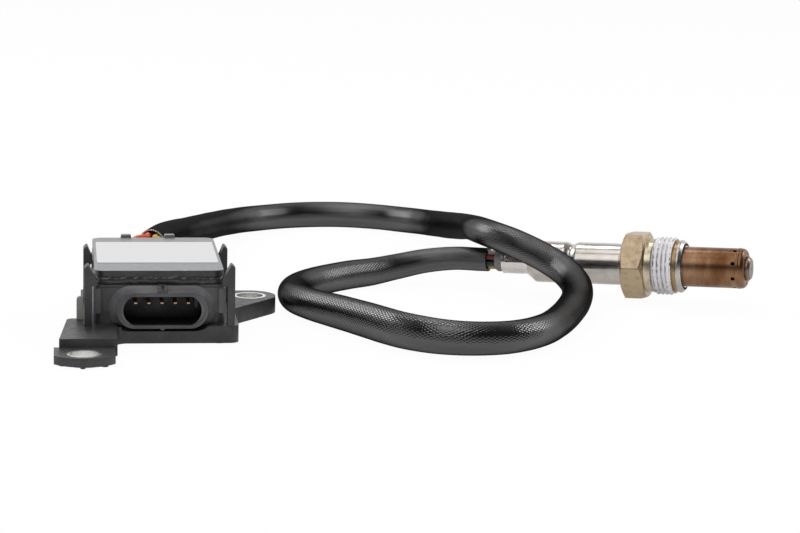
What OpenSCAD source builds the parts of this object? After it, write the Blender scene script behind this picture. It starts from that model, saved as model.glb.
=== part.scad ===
// Nitrogen oxide sensor: control box in a clip bracket, sleeved wiring and exhaust probe.
// Origin on the front fixing hole's axis, at the surface that the bracket stands on. Millimetres.

/* [Fixing holes] */
// Inner diameter of the steel bushings, for an M8 screw
bushing_bore = 8.8; // [8.2:0.1:9.2]
// Wall of the steel bushings
bushing_wall = 1.05; // [0.9:0.05:1.2]
// Across from the front hole to the rear one
hole_dx = 55.5; // [54:0.5:60]
// Back from the front hole to the rear one
hole_dy = 77.5; // [70:0.5:82]

/* [Bracket] */
// Height of the tray that the box stands on
tray_top = 5.9; // [5:0.1:7]
// Gap under the tray, bridged by its small feet
foot_h = 0.5; // [0.3:0.1:0.8]
// Top of the thin front lug
lug_top = 3.2; // [2.8:0.1:3.6]
// Width of the front lug
lug_w = 18.6; // [17:0.2:20]
// Reach of the front lug ahead of its hole
lug_reach = 7; // [6.8:0.1:8]
// Distance from the front hole back to the step up to the tray
step_y = 9; // [8:0.5:12]
// Thickness of the clip posts
post_t = 2.3; // [2:0.1:2.8]
// Height of the front clip posts above the surface
front_post_top = 25.3; // [25:0.1:27]
// Height of the rear clip posts above the surface
rear_post_top = 24.4; // [24:0.1:27]
// How far the front clips reach over the box
clip_reach = 1.7; // [1.4:0.1:2]

/* [Control box] */
// Width of the box
box_w = 40.6; // [39:0.2:42]
// Length of the box from its front panel to its back
box_d = 61; // [58:0.5:64]
// Left side of the box
box_x = 3.4; // [3.2:0.1:3.8]
// Front edge of the lid
box_y = 32.1; // [31.5:0.1:33]
// Height of the box's moulded walls
wall_h = 12.4; // [11.5:0.1:13]
// Thickness of the box's moulded walls
wall_t = 1.8; // [1.4:0.1:2.2]
// Thickness of the lid plate
lid_t = 2; // [1.6:0.1:2.4]
// Gap between walls and lid that the sealant fills
seal_gap = 2.5; // [2:0.1:3]
// Corner radius of the lid
lid_r = 3.2; // [2.5:0.1:3.2]

/* [Connector] */
// Width of the socket's opening
socket_w = 26.4; // [25.5:0.2:27]
// Height of the socket's opening
socket_h = 9.1; // [8.6:0.1:9.4]
// Wall of the socket's shroud
shroud_t = 1.05; // [0.9:0.05:1.3]
// Reach of the shroud ahead of the lid
shroud_l = 5.6; // [5:0.1:6]
// Depth of the socket
socket_d = 12; // [11:0.5:13]
// Distance between neighbouring pins
pin_pitch = 4.15; // [3.9:0.05:4.3]
// Width of a pin
pin_w = 1.2; // [1:0.1:1.4]

/* [Probe] */
// Width of the hexagon across its flats
hex_af = 22; // [21:0.5:24]
// Length of the hexagon
hex_l = 8; // [7:0.5:9]
// Outer diameter of the mounting thread
thread_d = 20; // [19:0.5:20]
// Length of the mounting thread
thread_l = 7.2; // [6.5:0.1:8]
// Diameter of the steel body behind the hexagon
body_d = 14.5; // [14.3:0.1:15]
// Length of the steel body behind the hexagon
body_l = 34.7; // [33:0.1:38]
// Diameter of the crimped sleeve at the wire end
crimp_d = 9.3; // [9:0.1:9.8]
// Length of the crimped sleeve
crimp_l = 11; // [9.5:0.1:12]
// Diameter of the exhaust side tube
tube_d = 13.8; // [13.4:0.1:14]
// Length of the exhaust side tube
tube_l = 21.4; // [20:0.1:24]
// Diameter of the gas holes
gas_hole_d = 1.4; // [1:0.1:1.8]
// Number of gas holes
gas_holes = 8; // [6:1:10]

/* [Wiring] */
// Diameter of the braided sleeve
sleeve_d = 10.4; // [9.6:0.1:10.4]
// Diameter of the sleeve where it is drawn tight at the probe
sleeve_end_d = 8.6; // [8:0.1:9]
// Diameter of one wire
wire_d = 2; // [1.8:0.1:2.1]

/* [Hidden] */
$fn = 64;

// Clearances
press_gap = 0.05;
seat_gap = 0.3;
turn_gap = 0.06;
eps = 0.5;

// Bracket
bushing_r = bushing_bore / 2 + bushing_wall;
tray_x0 = box_x - 3.9;
tray_x1 = box_x + box_w + 4.6;
tray_y0 = box_y - 5.2;
tray_y1 = box_y + box_d - 3;
tray_r = 3;
wing_x0 = -7.7;
wing_x1 = 10.1;
wing_back_y = 40.4;
wing_back_x = -5.3;
wing_r = 2;
lug_front_r = 11.15;
fillet_r = 3.4;
arm_r = bushing_r + 3.2;
arm_y0 = hole_dy - 22.5;
post_x0 = box_x - 0.6 - seat_gap - post_t;
post_x1 = box_x + box_w + 0.6 + seat_gap;
front_post_y = box_y - 4.9;
front_post_w = 4.7;
rear_post_y = box_y + 34;
rear_post_w = 6;
rear_reach = 0.7;
hook_z = tray_top + wall_h + seat_gap;
hook_lip = 0.8;
rib_h = 7.3;
rib_t = 2.1;
rib_y = wing_back_y - rib_t;
nub_r = 1.1;
small_nub_r = 0.75;
pad_r = 3;

// Control box
house_x0 = box_x - 0.4;
house_x1 = box_x + box_w + 0.4;
house_y0 = box_y - 1.1;
house_y1 = box_y + box_d - 0.8;
house_r = 2.4;
wall_top = tray_top + wall_h;
lid_z = wall_top + seal_gap;
lid_top = lid_z + lid_t;
skirt_in = wall_t + press_gap;
skirt_t = 1.4;
skirt_dip = 2.2;
tab_w = 3.6;
tab_x = [box_x + 11.3, box_x + 25.9];
tab_d = 2.4;
tab_rise = 1;
label_t = 0.15;
label_x = 0.95;
label_y = 13.4;
label_l = 38.1;
socket_off = 0.8;
socket_x = box_x + box_w / 2 + socket_off;
socket_z = tray_top + 5;
shroud_y = box_y - shroud_l;
flare_w = 4.4;
flare_h = 1.3;
flare_l = 2;
back_wall = 2;
socket_back = shroud_y + socket_d;
ledge_h = 7.7;
ledge_w = 2.2;
ledge_z = tray_top + 3.9;
panel_step = 0.8;
pin_z = socket_z + 1.5;
pin_h = 0.8;
pin_tip_y = shroud_y + 5.5;
pin_in = 6;
pin_x = [for (k = [-2 : 2]) socket_x + k * pin_pitch];
board_t = 1.6;
board_z = tray_top + wall_t + 1.6;
board_gap = 0.6;
board_y0 = socket_back + back_wall + 1;
post_peg_r = 1.5;
seal_off = 1.7;
seal_x = box_x + box_w / 2 - seal_off;
seal_w = 17;
seal_z = tray_top + 6.6;
seal_h = 8;
seal_out = 3;
seal_lip = 0.8;
board_y1 = house_y1 - wall_t - board_gap - seal_lip;
board_mid = [(house_x0 + house_x1) / 2, (board_y0 + board_y1) / 2];

// Probe: its own X axis runs from the wires to the tip, with 0 at the middle of the hexagon
probe_pos = [192.3, 96.5, 12.6];
probe_heading = -27;
probe_tilt = 2.7;
hex_turn = 19;
hex_e = hex_af / cos(30);
ring_t = 0.9;
screw_back = -hex_l / 2;
shoulder_l = 2.6;
thread_s = hex_l / 2 + shoulder_l;
relief_l = 1.4;
relief_s = thread_s + thread_l;
flange_l = 1.8;
screw_end = relief_s + relief_l + flange_l;
shoulder_d = thread_d - 1.6;
relief_d = thread_d - 2.4;
flange_d = thread_d - 1.8;
bore_r = body_d / 2 - 0.65;
recess_l = 1.9;
recess_r = body_d / 2 + 0.75;
collar_s = screw_end - recess_l + seat_gap;
collar_l = 1.7;
collar_r = body_d / 2 - 0.05;
ring_r = body_d / 2 + 0.3;
body_end = screw_back - seat_gap;
body_start = body_end - body_l;
body_wall = 0.6;
body_ri = body_d / 2 - body_wall;
cone_l = 2.6;
groove_s = body_end - 19.2;
groove_w = 5;
groove_depth = 0.8;
neck_l = 1.3;
crimp_s = body_start - crimp_l + neck_l;
crimp_wall = 0.7;
crimp_facet = 0.1;
neck_wall = 0.5;
crimp_ri = crimp_d / 2 - crimp_wall;
grommet_l = 2.9;
grommet_s = crimp_s - grommet_l;
grommet_d = 8.1;
tube_s = collar_s + collar_l;
tube_wall = 0.5;
tube_end = tube_s + tube_l;
tube_round = 1.6;
gas_hole_s = tube_end - 3.7;
vent_d = 1;
vent_r = tube_d / 2 - 1.75;
nose_r = 4.15;
nose_out = 1.5;
nose_wall = 0.5;
nose_hole_d = 0.7;
core_r = 4.2;
element_w = 4.2;
element_t = 1.2;
element_gap = 0.15;
block_r = body_ri - 1.1;
spine_back = body_start + 14;

// Wiring: route of the sleeve's centre line, from the box to the probe
sleeve_gap = 2.9;
route = [
    [24, 108, 18], [26.3, 118.4, 17.5], [28.6, 128.7, 16.8], [31.1, 139, 15.8], [33.8, 149.1, 14.6],
    [36.8, 159.2, 13.4], [40.1, 169.3, 12.3], [43.4, 179.3, 11.3], [46.8, 189.3, 10.3],
    [50.2, 199.3, 9.3], [53.8, 209.3, 8.3], [57.8, 219, 7.3], [62.7, 228.4, 6.4],
    [69.2, 236.7, 5.7], [77.7, 243.1, 5.4], [87.5, 247, 5.4], [98, 248.3, 5.4], [108.5, 247.1, 5.4],
    [118.4, 243.3, 5.3], [126.8, 237, 5.4], [133, 228.4, 6], [136.8, 218.5, 7], [138.8, 208.2, 8.3],
    [139.9, 197.8, 9.7], [140.6, 187.3, 11.2], [140.9, 176.8, 12.8], [141, 166.3, 14.4],
    [140.7, 155.8, 16.1], [140.3, 145.3, 17.7], [140.1, 134.8, 19.2], [140.9, 124.3, 20.1],
    [144.2, 114.3, 20], [150.6, 106.1, 18.4], [158.1, 99.1, 15.5], [164.3, 91.2, 12.2],
    [166.8, 81.3, 9.5], [165.9, 70.9, 7.8], [163.1, 60.7, 6.7], [159.5, 50.8, 6.1],
    [155.3, 41, 5.6], [150.8, 31.5, 5.4], [145.5, 22.3, 5.4], [138.5, 14.3, 5.4], [129.5, 8.8, 5.4],
    [119.1, 7.3, 5.4], [109, 10.2, 5.4], [100.7, 16.8, 5.4], [94.6, 25.5, 5.4], [89.6, 34.8, 5.4],
    [84.7, 44.3, 5.4], [79.7, 53.6, 5.4], [74.8, 63, 5.4], [71.2, 73, 5.4], [70.6, 83.5, 5.4],
    [73.3, 93.7, 5.4], [78.7, 102.9, 5.3], [85.6, 110.9, 5.2], [93.6, 117.9, 5.2],
    [102.3, 123.9, 5.2], [111.9, 128.4, 6.2], [122.1, 129.8, 8]
];
tight_from = 57;

// Point on the probe's axis, at the distance s from the middle of the hexagon
function on_axis(s) = probe_pos + s * [
    cos(probe_tilt) * cos(probe_heading), cos(probe_tilt) * sin(probe_heading), sin(probe_tilt)
];
sleeve_s = grommet_s - sleeve_gap;
sleeve_path = concat(route, [for (s = [-13, -4, 0]) on_axis(sleeve_s + s)]);

// Rings of points around a path, and the closed tube that they make
function unit(v) = v / norm(v);
function heading_at(path, i) =
    unit(path[min(i + 1, len(path) - 1)] - path[max(i - 1, 0)]);
function ring(path, i, r, sides) =
    let (t = heading_at(path, i), a = unit(cross(t, [0, 0, 1])), b = cross(t, a))
    [for (k = [0 : sides - 1])
        path[i] + r * (cos(360 * k / sides) * a + sin(360 * k / sides) * b)];
module swept_tube(path, radii, sides) {
    n = len(path);
    points = [for (i = [0 : n - 1]) each ring(path, i, radii[i], sides)];
    sides_faces = [for (i = [0 : n - 2], k = [0 : sides - 1])
        let (j = (k + 1) % sides)
        each [
            [i * sides + k, i * sides + j, (i + 1) * sides + j],
            [i * sides + k, (i + 1) * sides + j, (i + 1) * sides + k]
        ]];
    start_face = [[for (k = [sides - 1 : -1 : 0]) k]];
    end_face = [[for (k = [0 : sides - 1]) (n - 1) * sides + k]];
    polyhedron(points = points, faces = concat(sides_faces, start_face, end_face));
}

// Plate with round corners, from one corner to the other
module round_plate(p0, p1, r, h) {
    linear_extrude(h) round_rect(p0, p1, r);
}
module round_rect(p0, p1, r) {
    translate([p0.x + r, p0.y]) square([p1.x - p0.x - 2 * r, p1.y - p0.y]);
    translate([p0.x, p0.y + r]) square([p1.x - p0.x, p1.y - p0.y - 2 * r]);
    for (x = [p0.x + r, p1.x - r], y = [p0.y + r, p1.y - r]) translate([x, y]) circle(r);
}

// Outline with straight top and bottom and round ends, centred, lying along X
module slot_shape(w, h) {
    square([w - h, h], center = true);
    for (x = [-1, 1]) translate([x * (w - h) / 2, 0]) circle(h / 2);
}

// Puts a shape drawn in X and Z into the model, running back along Y
module standing(y, depth) {
    translate([0, y + depth, 0]) rotate([90, 0, 0]) linear_extrude(depth) children();
}

// Puts a piece that is drawn along X onto the probe's axis
module on_probe() {
    translate(probe_pos) rotate([0, -probe_tilt, probe_heading]) children();
}
module turned(points) {
    rotate([0, 90, 0]) rotate_extrude() polygon([for (p = points) [p[1], p[0]]]);
}
module rod(s0, s1, r) {
    translate([s0, 0, 0]) rotate([0, 90, 0]) cylinder(h = s1 - s0, r = r);
}

// Bracket: one moulding with a tray, a wing, two lugs and four clip posts
module tray_outline() {
    round_rect([tray_x0, tray_y0], [tray_x1, tray_y1], tray_r);
    translate([wing_back_x + wing_r, wing_back_y - wing_r]) circle(wing_r);
    polygon([
        [wing_x0, step_y], [wing_x1, step_y], [wing_x1, tray_y0 + tray_r], [tray_x0 + tray_r, wing_back_y],
        [wing_back_x + wing_r, wing_back_y], [wing_back_x, wing_back_y - wing_r]
    ]);
    square_fillet(wing_x1, tray_y0);
    arm_outline();
}
module square_fillet(x, y) {
    difference() {
        translate([x - eps, y - fillet_r]) square(fillet_r + eps);
        translate([x + fillet_r, y - fillet_r]) circle(fillet_r);
    }
}
module arm_outline() {
    translate([hole_dx, hole_dy]) circle(arm_r);
    reach = [hole_dx - tray_x1, hole_dy - arm_y0];
    lean = atan2(reach.y, reach.x) - asin(arm_r / norm(reach));
    touch = [hole_dx, hole_dy] + arm_r * [cos(lean - 90), sin(lean - 90)];
    polygon([
        [tray_x1 - tray_r, arm_y0 - tray_r * sin(lean)], [tray_x1, arm_y0], touch, [hole_dx, hole_dy],
        [hole_dx, hole_dy + arm_r], [tray_x1 - tray_r, hole_dy + arm_r]
    ]);
}
module lug_outline() {
    middle_y = lug_front_r - lug_reach;
    intersection() {
        translate([0, middle_y]) circle(lug_front_r);
        translate([-lug_w / 2, -lug_reach]) square([lug_w, lug_reach + middle_y]);
    }
    translate([-lug_w / 2, middle_y - eps]) square([lug_w, step_y + 2 * eps - middle_y]);
}
module clip_post(top, reach) {
    polygon([
        [0, tray_top - eps], [0, top - hook_lip], [hook_lip, top], [hook_lip + 0.5, top],
        [post_t + reach, hook_z + hook_lip * 2], [post_t + reach, hook_z + hook_lip / 2],
        [post_t, hook_z], [post_t, tray_top - eps]
    ]);
}
module clip_posts() {
    for (row = [
        [front_post_y, front_post_w, front_post_top, clip_reach],
        [rear_post_y, rear_post_w, rear_post_top, rear_reach]
    ]) {
        standing(row[0], row[1]) translate([post_x0, 0]) clip_post(row[2], row[3]);
        standing(row[0], row[1]) translate([post_x1 + post_t, 0]) mirror([1, 0]) clip_post(row[2], row[3]);
    }
}
module bracket() {
    color([0.2, 0.2, 0.21]) difference() {
        union() {
            translate([0, 0, foot_h]) linear_extrude(tray_top - foot_h) tray_outline();
            translate([0, 0, foot_h]) linear_extrude(lug_top - foot_h) lug_outline();
            clip_posts();
            standing(rib_y, rib_t) side_rib();
            for (p = [[-6.6, -1.8, nub_r], [-0.6, -6.25, small_nub_r], [6, -3.2, nub_r], [7.6, 1.5, nub_r]])
                translate([p.x, p.y, 0]) cylinder(h = lug_top, r = p[2]);
            for (x = [tray_x0 + 6, tray_x1 - 6], y = [tray_y0 + 5, tray_y1 - 5])
                translate([x, y, 0]) cylinder(h = tray_top, r = pad_r);
        }
        for (p = [[0, 0], [hole_dx, hole_dy]])
            translate([p.x, p.y, -eps]) cylinder(h = tray_top + 2 * eps, r = bushing_r + press_gap);
        cut_l = house_y0 + house_r + seat_gap - tray_y0;
        translate([socket_x, 0, socket_z]) standing(tray_y0 - eps, cut_l + eps) slot_shape(
            socket_w + 2 * shroud_t + flare_w + 2 * seat_gap, socket_h + 2 * shroud_t + flare_h + 2 * seat_gap
        );
    }
}
module side_rib() {
    x = post_x0 - seat_gap - rib_t;
    translate([x, tray_top - eps]) square([rib_t, rib_h + eps - rib_t / 2]);
    translate([x + rib_t / 2, tray_top + rib_h - rib_t / 2]) circle(rib_t / 2);
}

// Steel bushings that take the clamping load of the fixing screws
module bushing(h) {
    color([0.8, 0.8, 0.8]) difference() {
        cylinder(h = h, r = bushing_r);
        translate([0, 0, -eps]) cylinder(h = h + 2 * eps, r = bushing_bore / 2);
    }
}
module front_bushing() {
    bushing(lug_top);
}
module rear_bushing() {
    translate([hole_dx, hole_dy, 0]) bushing(tray_top);
}

// Moulded box with the connector's shroud on its front
module housing() {
    color([0.27, 0.27, 0.28]) difference() {
        union() {
            translate([0, 0, tray_top])
                round_plate([house_x0, house_y0 + panel_step], [house_x1, house_y1], house_r, wall_h);
            front_panel();
            shroud();
            ledges();
            latch_key();
        }
        translate([0, 0, tray_top + wall_t]) round_plate(
            [house_x0 + wall_t, socket_back + back_wall], [house_x1 - wall_t, house_y1 - wall_t],
            house_r / 2, wall_h
        );
        socket_space();
        for (x = pin_x) translate([x, 0, pin_z])
            standing(socket_back - eps, back_wall + 2 * eps) square([pin_w, pin_h] + [1, 1] * press_gap, center = true);
        translate([seal_x, 0, seal_z]) standing(house_y1 - wall_t - eps, wall_t + 2 * eps)
            slot_shape(seal_w, seal_h);
    }
}
module front_panel() {
    translate([house_x0, house_y0, ledge_z]) cube([house_x1 - house_x0, panel_step + house_r, ledge_h]);
}
module shroud() {
    translate([socket_x, 0, socket_z]) {
        standing(shroud_y, house_y0 - shroud_y + house_r)
            slot_shape(socket_w + 2 * shroud_t, socket_h + 2 * shroud_t);
        hull() {
            standing(house_y0 - flare_l, eps) slot_shape(socket_w + 2 * shroud_t, socket_h + 2 * shroud_t, $fn = 32);
            standing(house_y0, eps)
                slot_shape(socket_w + 2 * shroud_t + flare_w, socket_h + 2 * shroud_t + flare_h, $fn = 32);
        }
    }
}
module ledges() {
    for (x = [house_x0, house_x1 - ledge_w])
        translate([x, house_y0 - ledge_w, ledge_z]) cube([ledge_w, ledge_w + eps, ledge_h]);
}
module latch_key() {
    key_w = 2.9;
    key_h = 2.4;
    key_z = socket_z + socket_h / 2 + shroud_t - 0.4;
    difference() {
        translate([socket_x - key_w / 2, shroud_y + 0.6, key_z]) cube([key_w, house_y0 - shroud_y, key_h]);
        translate([socket_x - key_w / 6, shroud_y, key_z]) cube([key_w / 3, house_y0 - shroud_y - 1, key_h]);
    }
    translate([socket_x, 0, socket_z - socket_h / 2 - shroud_t + 0.2]) standing(shroud_y, shroud_l - 2) circle(0.75);
}
module socket_space() {
    rib_w = 1.1;
    rib_gap = 1.3;
    rib_x = 2 * pin_pitch + pin_w / 2 + rib_gap;
    translate([socket_x, 0, socket_z]) difference() {
        standing(shroud_y - eps, socket_d + eps) slot_shape(socket_w, socket_h);
        translate([rib_x, socket_back - 6, 0]) cube([rib_w, 6, socket_h / 2]);
    }
}

// Lid plate with a skirt inside the walls and two tabs at the back
module lid() {
    color([0.56, 0.57, 0.59]) {
        translate([0, 0, lid_z]) round_plate([box_x, box_y], [box_x + box_w, box_y + box_d], lid_r, lid_t);
        translate([0, 0, wall_top - skirt_dip]) difference() {
            skirt_block(skirt_in, skirt_dip + seal_gap);
            translate([0, 0, -eps]) skirt_block(skirt_in + skirt_t, skirt_dip + seal_gap + eps);
        }
        for (x = tab_x) {
            translate([x - tab_w / 2, box_y + box_d - eps, lid_z - eps]) cube([tab_w, tab_d, lid_t + eps]);
            translate([x, 0, lid_top]) standing(box_y + box_d - eps, tab_d) intersection() {
                circle(tab_w / 2);
                translate([-tab_w / 2, -tab_rise]) square([tab_w, 2 * tab_rise]);
            }
        }
    }
}
module skirt_block(inset, h) {
    round_plate(
        [house_x0 + inset, socket_back + back_wall + inset - wall_t],
        [house_x1 - inset, house_y1 - inset], house_r / 2, h
    );
}
module label() {
    color([0.9, 0.9, 0.9]) translate([0, 0, lid_top]) round_plate(
        [box_x + label_x, box_y + label_y], [box_x + box_w - label_x, box_y + label_y + label_l], 0.8, label_t
    );
}
module sealant_bead() {
    bead_in = 0.5;
    color([0.1, 0.1, 0.1]) translate([0, 0, wall_top]) difference() {
        round_plate([box_x + bead_in, house_y0 + bead_in + panel_step],
            [box_x + box_w - bead_in, house_y1 - bead_in], house_r, seal_gap);
        translate([0, 0, -eps]) skirt_block(skirt_in - press_gap, seal_gap + 2 * eps);
    }
}

// Contact pins, which reach back through the wall and down into the board
module pin(k) {
    color([0.8, 0.62, 0.4]) translate([pin_x[k] - pin_w / 2, pin_tip_y, pin_z - pin_h / 2]) {
        reach = socket_back + back_wall - pin_tip_y + pin_in;
        cube([pin_w, reach, pin_h]);
        translate([0, reach - pin_h, board_z - pin_z + pin_h / 2 - 1]) cube([pin_w, pin_h, pin_z - board_z + 1]);
    }
}
module pin_1() {
    pin(0);
}
module pin_2() {
    pin(1);
}
module pin_3() {
    pin(2);
}
module pin_4() {
    pin(3);
}
module pin_5() {
    pin(4);
}

// Board on pegs inside the box, with its main components
module circuit_board() {
    x0 = house_x0 + wall_t + board_gap;
    x1 = house_x1 - wall_t - board_gap;
    tail_y = socket_back + back_wall + pin_in - pin_h;
    color([0.1, 0.35, 0.2]) {
        difference() {
            translate([x0, board_y0, board_z]) cube([x1 - x0, board_y1 - board_y0, board_t]);
            for (x = pin_x) translate([x - pin_w / 2 - press_gap, tail_y - press_gap, board_z - eps])
                cube([pin_w + 2 * press_gap, pin_h + 2 * press_gap, board_t + 2 * eps]);
        }
        for (x = [x0 + 3, x1 - 3], y = [board_y0 + 3, board_y1 - 3])
            translate([x, y, tray_top + wall_t]) cylinder(h = board_z - tray_top - wall_t, r = post_peg_r);
    }
}
module on_board(x, y) {
    translate([board_mid.x + x, board_mid.y + y, board_z + board_t]) children();
}
module microcontroller() {
    color([0.12, 0.12, 0.13]) on_board(-6.7, -8.8) cube([12, 12, 1.4]);
}
module heater_driver() {
    color([0.15, 0.15, 0.16]) on_board(8.3, -1.8) cube([6.5, 6, 2.3]);
}
module capacitors() {
    color([0.7, 0.7, 0.72]) {
        for (y = [-11.8, -3.8]) on_board(-12.7, y) cylinder(h = 5.4, r = 2.5);
    }
}

// Rubber seal that leads the wires out of the back of the box
module wire_seal() {
    color([0.16, 0.16, 0.17]) translate([seal_x, 0, seal_z]) {
        standing(house_y1 - wall_t, wall_t + seal_out) slot_shape(seal_w - 2 * press_gap, seal_h - 2 * press_gap);
        standing(house_y1 + press_gap, seal_out - 1) slot_shape(seal_w + 1.6, seal_h + 1.6);
    }
}

// Wires: short lengths that show at the box and at the probe
seal_face = house_y1 + seal_out;
mouth = route[0];
mouth_dir = unit(route[1] - mouth);
mouth_side = unit(cross(mouth_dir, [0, 0, 1]));
mouth_up = cross(mouth_side, mouth_dir);
probe_dir = on_axis(1) - probe_pos;
probe_side = unit(cross(probe_dir, [0, 0, 1]));
probe_up = cross(probe_side, probe_dir);
wire_ring = 2.4;
function box_wire(x, side, up) =
    let (end = mouth + side * mouth_side + up * mouth_up - press_gap * mouth_dir)
    [
        [seal_x + x, seal_face + press_gap, seal_z], [seal_x + x, seal_face + 2.5, seal_z],
        [seal_x + x * 0.9 + side * 0.3, seal_face + 6.5, seal_z + 3 + up * 0.5],
        end - 3.5 * mouth_dir, end
    ];
function probe_wire(angle) = [for (s = [press_gap, sleeve_gap - press_gap])
    on_axis(sleeve_s + s) + wire_ring * (cos(angle) * probe_up + sin(angle) * probe_side)];
module wire(tint, x, side, up, angle) {
    radii = [for (i = [0 : 4]) wire_d / 2];
    color(tint) {
        swept_tube(box_wire(x, side, up), radii, 8);
        swept_tube(probe_wire(angle), radii, 8);
    }
}
module wire_orange() {
    wire([0.85, 0.3, 0.12], -7, -2.4, 1.4, 180);
}
module wire_red() {
    wire([0.4, 0.1, 0.07], -4.2, -2.4, -1.4, 60);
}
module wire_black() {
    wire([0.08, 0.08, 0.08], -1.4, 0, 2.8, 240);
}
module wire_teal() {
    wire([0.02, 0.25, 0.25], 1.4, 0, -2.8, 120);
}
module wire_white() {
    wire([0.9, 0.9, 0.88], 4.2, 2.4, -1.4, 0);
}
module wire_yellow() {
    wire([0.8, 0.62, 0.15], 7, 2.4, 1.4, 300);
}

// Braided sleeve over the wires
module sleeve() {
    n = len(sleeve_path);
    radii = [for (i = [0 : n - 1])
        (i < tight_from ? sleeve_d : sleeve_d + (sleeve_end_d - sleeve_d) * (i - tight_from) / (n - 1 - tight_from)) / 2];
    color([0.07, 0.07, 0.08]) swept_tube(sleeve_path, radii, 10);
}

// Wire end of the probe
module wire_grommet() {
    edge = 0.8;
    color([0.25, 0.25, 0.26]) on_probe() turned([
        [grommet_s, 0], [grommet_s, grommet_d / 2 - edge], [grommet_s + edge, grommet_d / 2],
        [crimp_s, grommet_d / 2], [crimp_s, crimp_ri - press_gap], [crimp_s + 4, crimp_ri - press_gap],
        [crimp_s + 4, 0]
    ]);
}
module crimp_sleeve() {
    collar = 1.2;
    color([0.78, 0.76, 0.73]) on_probe() difference() {
        union() {
            rod(crimp_s, crimp_s + collar, crimp_d / 2);
            translate([crimp_s + collar, 0, 0]) rotate([0, 90, 0])
                cylinder(h = crimp_l - 2 * collar, r = crimp_d / 2 + crimp_facet, $fn = 12);
            rod(crimp_s + crimp_l - collar, crimp_s + crimp_l, crimp_d / 2);
        }
        rod(crimp_s - eps, crimp_s + crimp_l + eps, crimp_ri);
    }
}

// Steel shell from the crimp to the hexagon, with a neck, a cone and a rolled groove
function groove_line(r, steps) = [for (i = [0 : steps])
    [groove_s + groove_w * (i / steps - 0.5), r - groove_depth * pow(sin(180 * i / steps), 2)]];
module body_shell() {
    ro = body_d / 2;
    neck_ri = crimp_d / 2 + crimp_facet + press_gap;
    neck_r = neck_ri + neck_wall;
    cone_s = body_start + cone_l;
    hollow_s = cone_s + body_wall;
    inside = groove_line(body_ri, 8);
    color([0.8, 0.78, 0.75]) on_probe() turned(concat(
        [[body_start, neck_ri], [body_start, neck_r], [body_start + 0.5, neck_r + 0.3]],
        [[cone_s - 0.7, ro - 0.6], [cone_s, ro]], groove_line(ro, 12),
        [[body_end - ring_t, ro], [body_end - ring_t, body_ri]],
        [for (i = [len(inside) - 1 : -1 : 0]) inside[i]],
        [[hollow_s, body_ri], [body_start + neck_l + press_gap, neck_ri]]
    ));
}
module end_ring() {
    color([0.88, 0.88, 0.88]) on_probe() difference() {
        rod(body_end - ring_t, body_end, ring_r);
        rod(body_end - ring_t - eps, body_end + eps, bore_r - turn_gap + press_gap);
    }
}

// Captive screw: hexagon, shoulder, thread and flange in one piece, free to turn on the housing
module captive_screw() {
    color([0.7, 0.6, 0.46]) on_probe() difference() {
        union() {
            hexagon();
            turned([
                [hex_l / 2 - eps, 0], [hex_l / 2 - eps, shoulder_d / 2],
                [thread_s, shoulder_d / 2], [thread_s + 0.6, thread_d / 2],
                [relief_s - 0.6, thread_d / 2], [relief_s, relief_d / 2], [relief_s + relief_l, relief_d / 2],
                [relief_s + relief_l, flange_d / 2], [screw_end - 1.2, flange_d / 2],
                [screw_end, flange_d / 2 - 0.8], [screw_end, 0]
            ]);
        }
        rod(screw_back - eps, screw_end + eps, bore_r);
        rod(screw_end - recess_l, screw_end + eps, recess_r);
    }
}
module hexagon() {
    face_in = 0.25;
    chamfer = (hex_e - hex_af) / 2 + 3 * face_in;
    rise = chamfer * tan(30);
    r = hex_af / 2 - face_in;
    intersection() {
        rotate([hex_turn, 0, 0]) translate([screw_back, 0, 0]) rotate([0, 90, 0]) rotate([0, 0, 90])
            cylinder(h = hex_l, r = hex_e / 2, $fn = 6);
        turned([
            [screw_back, 0], [screw_back, r], [screw_back + rise, r + chamfer],
            [hex_l / 2 - rise, r + chamfer], [hex_l / 2, r], [hex_l / 2, 0]
        ]);
    }
}

// Sensor housing that the screw turns on, with the collar that holds it
module sensor_housing() {
    back = body_end - 6;
    shaft_r = bore_r - turn_gap;
    color([0.85, 0.84, 0.82]) on_probe() difference() {
        union() {
            rod(back, body_end - ring_t - press_gap, body_ri - press_gap);
            rod(body_end - ring_t - 2 * press_gap, collar_s + press_gap, shaft_r);
            rod(collar_s, collar_s + collar_l, collar_r);
        }
        rod(back - eps, collar_s + collar_l + eps, core_r + press_gap);
    }
}

// Exhaust side: outer tube with a ring of gas holes, and an inner tube that shows as the nose
module outer_tube() {
    ro = tube_d / 2;
    ri = ro - tube_wall;
    lip = nose_r + press_gap;
    arc = [for (a = [0 : 15 : 90]) [tube_end - tube_round + tube_round * sin(a), ro - tube_round + tube_round * cos(a)]];
    bead = [[tube_end - 3.1, ro], [tube_end - 2.8, ro + 0.12], [tube_end - 2.2, ro + 0.12], [tube_end - 1.9, ro]];
    color([0.5, 0.36, 0.24]) on_probe() difference() {
        turned(concat(
            [[tube_s, ri], [tube_s, ro]], bead, arc,
            [[tube_end, lip], [tube_end - tube_wall, lip], [tube_end - tube_wall, ri - 0.9], [tube_end - tube_wall - 0.9, ri]]
        ));
        for (k = [0 : gas_holes - 1]) rotate([(k + 0.5) * 360 / gas_holes, 0, 0])
            translate([gas_hole_s, 0, ro - tube_wall - eps]) cylinder(h = tube_wall + 2 * eps, r = gas_hole_d / 2);
        for (k = [0 : 5]) rotate([k * 60 + 48, 0, 0])
            translate([tube_end - tube_wall - eps, 0, vent_r]) rotate([0, 90, 0]) cylinder(h = 2, r = vent_d / 2);
    }
}
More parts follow.
